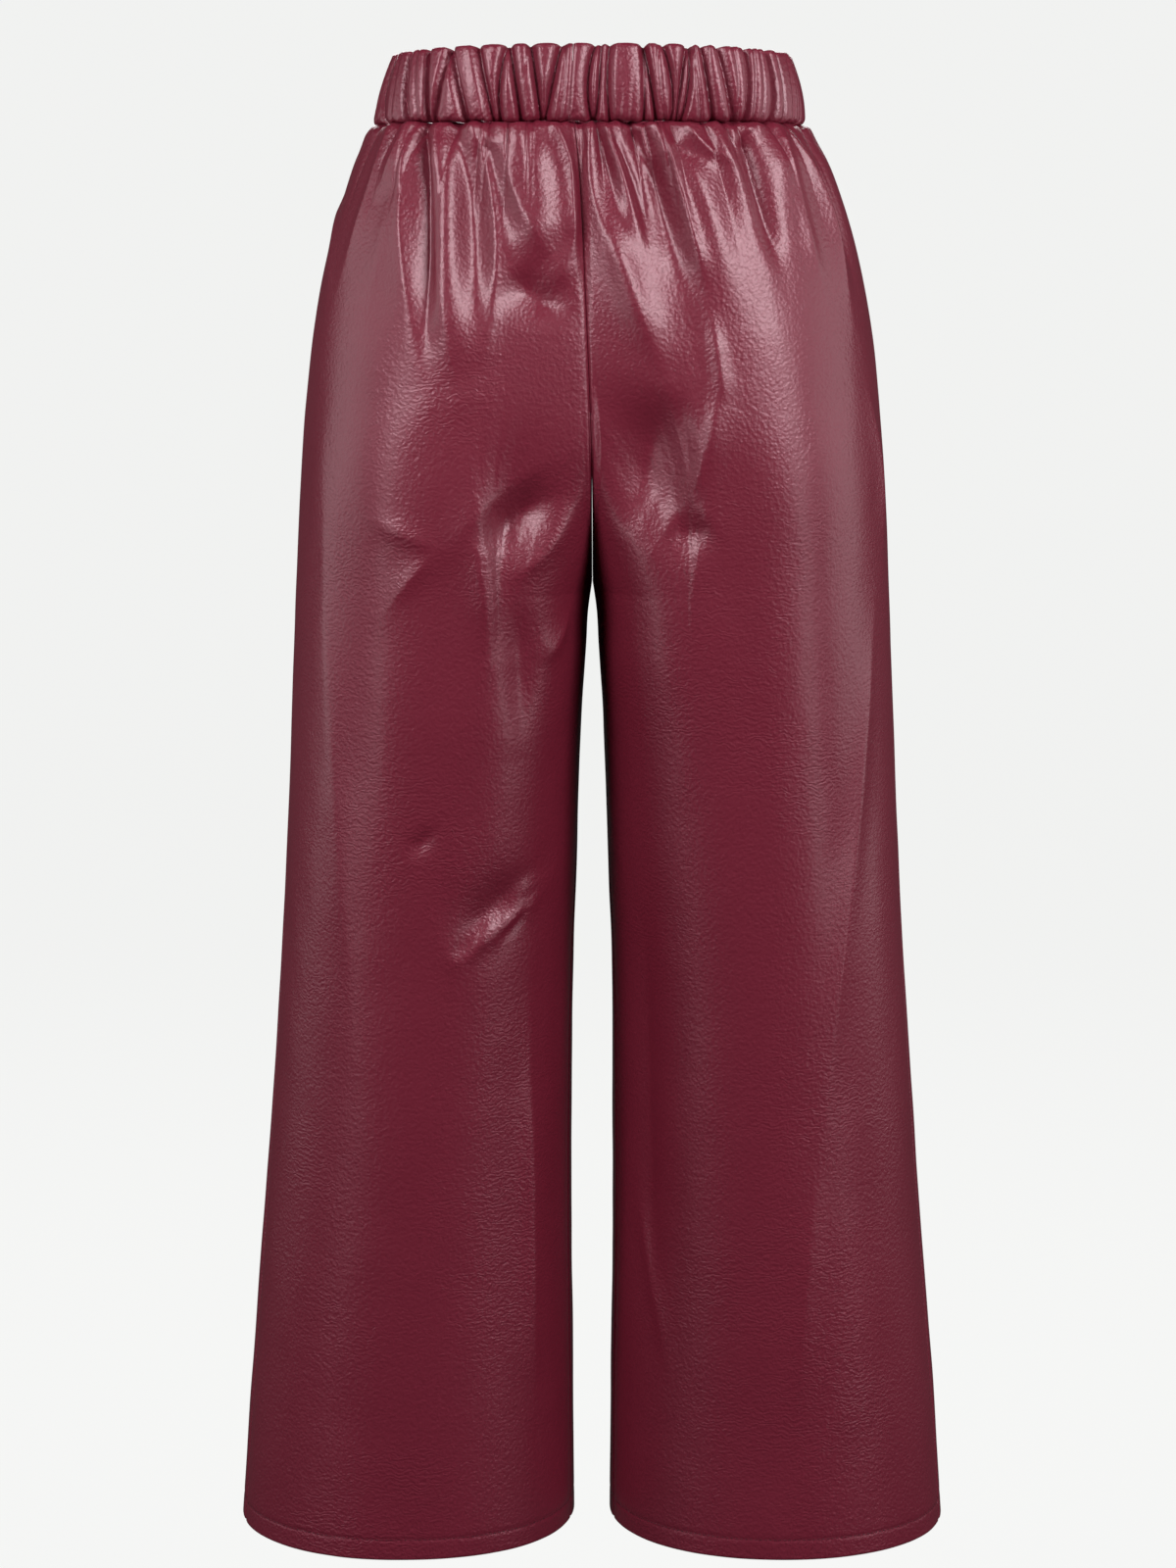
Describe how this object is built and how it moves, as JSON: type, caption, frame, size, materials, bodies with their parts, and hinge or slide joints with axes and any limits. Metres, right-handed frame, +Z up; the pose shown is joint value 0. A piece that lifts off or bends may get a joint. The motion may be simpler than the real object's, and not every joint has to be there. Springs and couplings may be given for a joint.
{
  "type": "wide-leg trousers",
  "caption": "Wide-leg trousers in burgundy faux leather, filled out as if worn and empty inside, with a gathered elastic waistband and straight open hems.",
  "frame": {"origin": "centre of the waist ring, halfway up the waistband, where a wearer holds the trousers up", "axes": "+Z up, +Y towards the front of the trousers, +X towards the wearer's right"},
  "size_m": [0.481, 0.2612, 0.9849],
  "materials": {
    "faux_leather": "soft gloss, fine grain"
  },
  "bodies": {
    "root": {"waistband": "faux_leather", "back_left": "faux_leather", "back_right": "faux_leather", "front_left": "faux_leather", "front_right": "faux_leather"}
  },
  "joints": []
}
